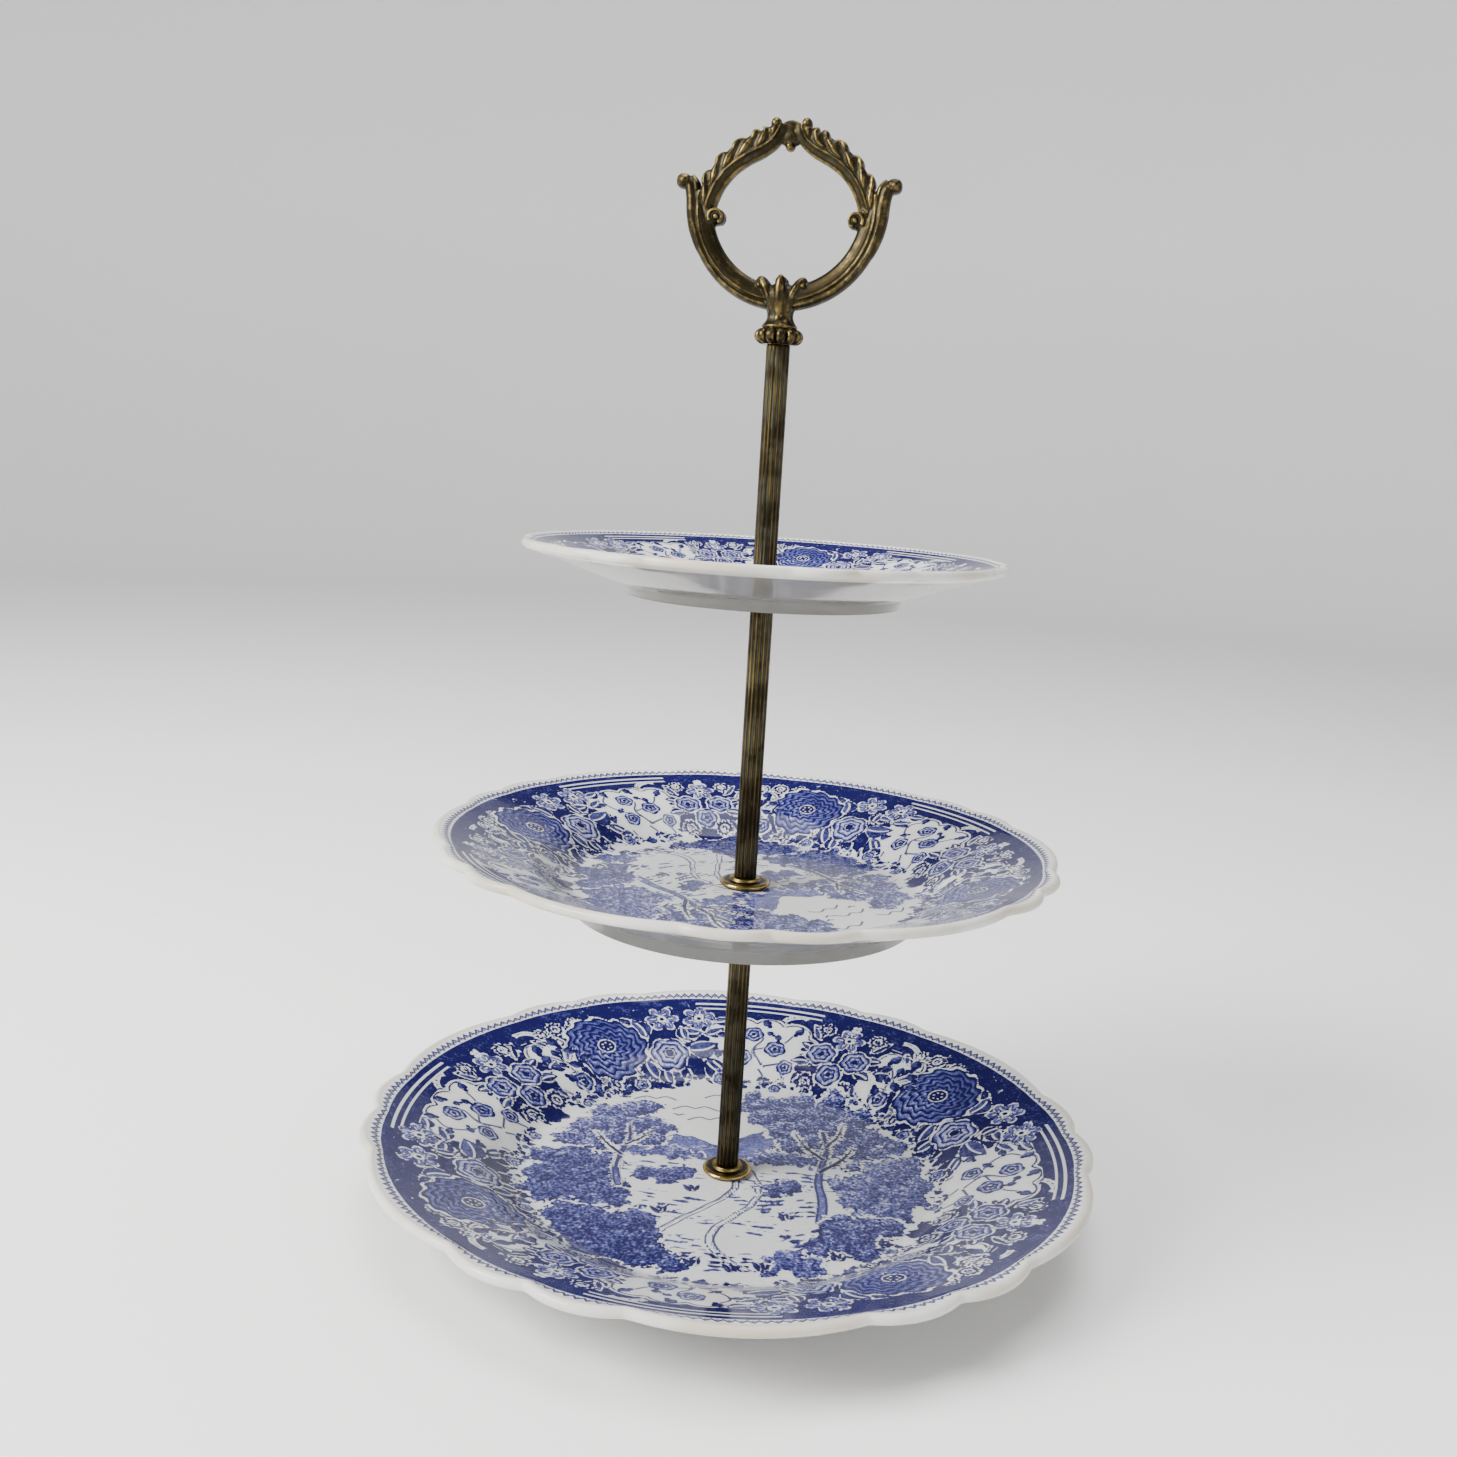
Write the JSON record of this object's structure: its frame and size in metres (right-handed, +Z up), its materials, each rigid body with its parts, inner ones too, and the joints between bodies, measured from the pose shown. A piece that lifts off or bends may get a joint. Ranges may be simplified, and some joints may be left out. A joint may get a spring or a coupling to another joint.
{
  "type": "tiered cake stand",
  "caption": "Three-tier cake stand: scalloped dish-shaped plates of falling size clamped on a screwed fluted rod with a ring handle, for serving cakes.",
  "frame": {"origin": "on the rods' axis, on the surface that the bottom plate's foot ring stands on", "axes": "+Z up along the rods, -Y towards the user, so that the handle's ring faces -Y, turned 10 degrees"},
  "size_m": [0.2578, 0.2578, 0.3673],
  "materials": {
    "glazed_ceramic": "glossy white glaze over a blue printed decoration",
    "antique_brass": "cast antique brass, dark in the recesses, worn bright on the ridges",
    "rod_brass": "fluted antique brass tube, aged",
    "rosette_brass": "spun brass, lightly aged",
    "bush_brass": "turned brass",
    "zinc_steel": "dull zinc plate",
    "rubber": "matte black rubber"
  },
  "bodies": {
    "base": {"bottom_plate": "glazed_ceramic", "bottom_screw": "zinc_steel", "bottom_washer": "zinc_steel", "bottom_gasket_under": "rubber", "bottom_gasket_over": "rubber"},
    "bottom_rosette": {"bottom_rosette": "rosette_brass"},
    "lower_rod": {"lower_rod": "rod_brass", "lower_rod_foot_bush": "bush_brass", "lower_rod_top_bush": "bush_brass", "lower_stud": "zinc_steel", "middle_washer": "zinc_steel"},
    "middle_plate": {"middle_plate": "glazed_ceramic", "middle_gasket_under": "rubber", "middle_gasket_over": "rubber"},
    "middle_rosette": {"middle_rosette": "rosette_brass"},
    "middle_rod": {"middle_rod": "rod_brass", "middle_rod_foot_bush": "bush_brass", "middle_rod_top_bush": "bush_brass", "upper_stud": "zinc_steel", "top_washer": "zinc_steel"},
    "top_plate": {"top_plate": "glazed_ceramic", "top_gasket_under": "rubber", "top_gasket_over": "rubber"},
    "top_rosette": {"top_rosette": "rosette_brass"},
    "upper_rod": {"upper_rod": "rod_brass", "upper_rod_foot_bush": "bush_brass", "upper_rod_top_bush": "bush_brass"},
    "handle_collar": {"handle_collar": "antique_brass"},
    "handle": {"handle_stud": "zinc_steel", "handle": "antique_brass"}
  },
  "joints": [
    {"name": "lower_rod_turn", "type": "hinge", "parent": "base", "child": "bottom_rosette", "pos_m": [0, 0, 0], "axis": [0, 0, 1], "range_deg": [0, 4321]},
    {"name": "lower_rod_rise", "type": "slide", "parent": "bottom_rosette", "child": "lower_rod", "axis": [0, 0, 1], "range_m": [0, 0.0084]},
    {"name": "middle_plate_turn", "type": "hinge", "parent": "lower_rod", "child": "middle_plate", "pos_m": [0, 0, 0], "axis": [0, 0, 1], "continuous": true},
    {"name": "middle_rod_turn", "type": "hinge", "parent": "lower_rod", "child": "middle_rosette", "pos_m": [0, 0, 0], "axis": [0, 0, 1], "range_deg": [0, 4321]},
    {"name": "middle_rod_rise", "type": "slide", "parent": "middle_rosette", "child": "middle_rod", "axis": [0, 0, 1], "range_m": [0, 0.0084]},
    {"name": "top_plate_turn", "type": "hinge", "parent": "middle_rod", "child": "top_plate", "pos_m": [0, 0, 0], "axis": [0, 0, 1], "continuous": true},
    {"name": "upper_rod_turn", "type": "hinge", "parent": "middle_rod", "child": "top_rosette", "pos_m": [0, 0, 0], "axis": [0, 0, 1], "range_deg": [0, 4321]},
    {"name": "upper_rod_rise", "type": "slide", "parent": "top_rosette", "child": "upper_rod", "axis": [0, 0, 1], "range_m": [0, 0.0084]},
    {"name": "handle_turn", "type": "hinge", "parent": "upper_rod", "child": "handle_collar", "pos_m": [0, 0, 0], "axis": [0, 0, 1], "range_deg": [0, 4321]},
    {"name": "handle_rise", "type": "slide", "parent": "handle_collar", "child": "handle", "axis": [0, 0, 1], "range_m": [0, 0.0084]}
  ],
  "couplings": [
    {"joint": "lower_rod_turn", "follows": "lower_rod_rise", "rad_per_m": 8976},
    {"joint": "middle_rod_turn", "follows": "middle_rod_rise", "rad_per_m": 8976},
    {"joint": "upper_rod_turn", "follows": "upper_rod_rise", "rad_per_m": 8976},
    {"joint": "handle_turn", "follows": "handle_rise", "rad_per_m": 8976}
  ]
}
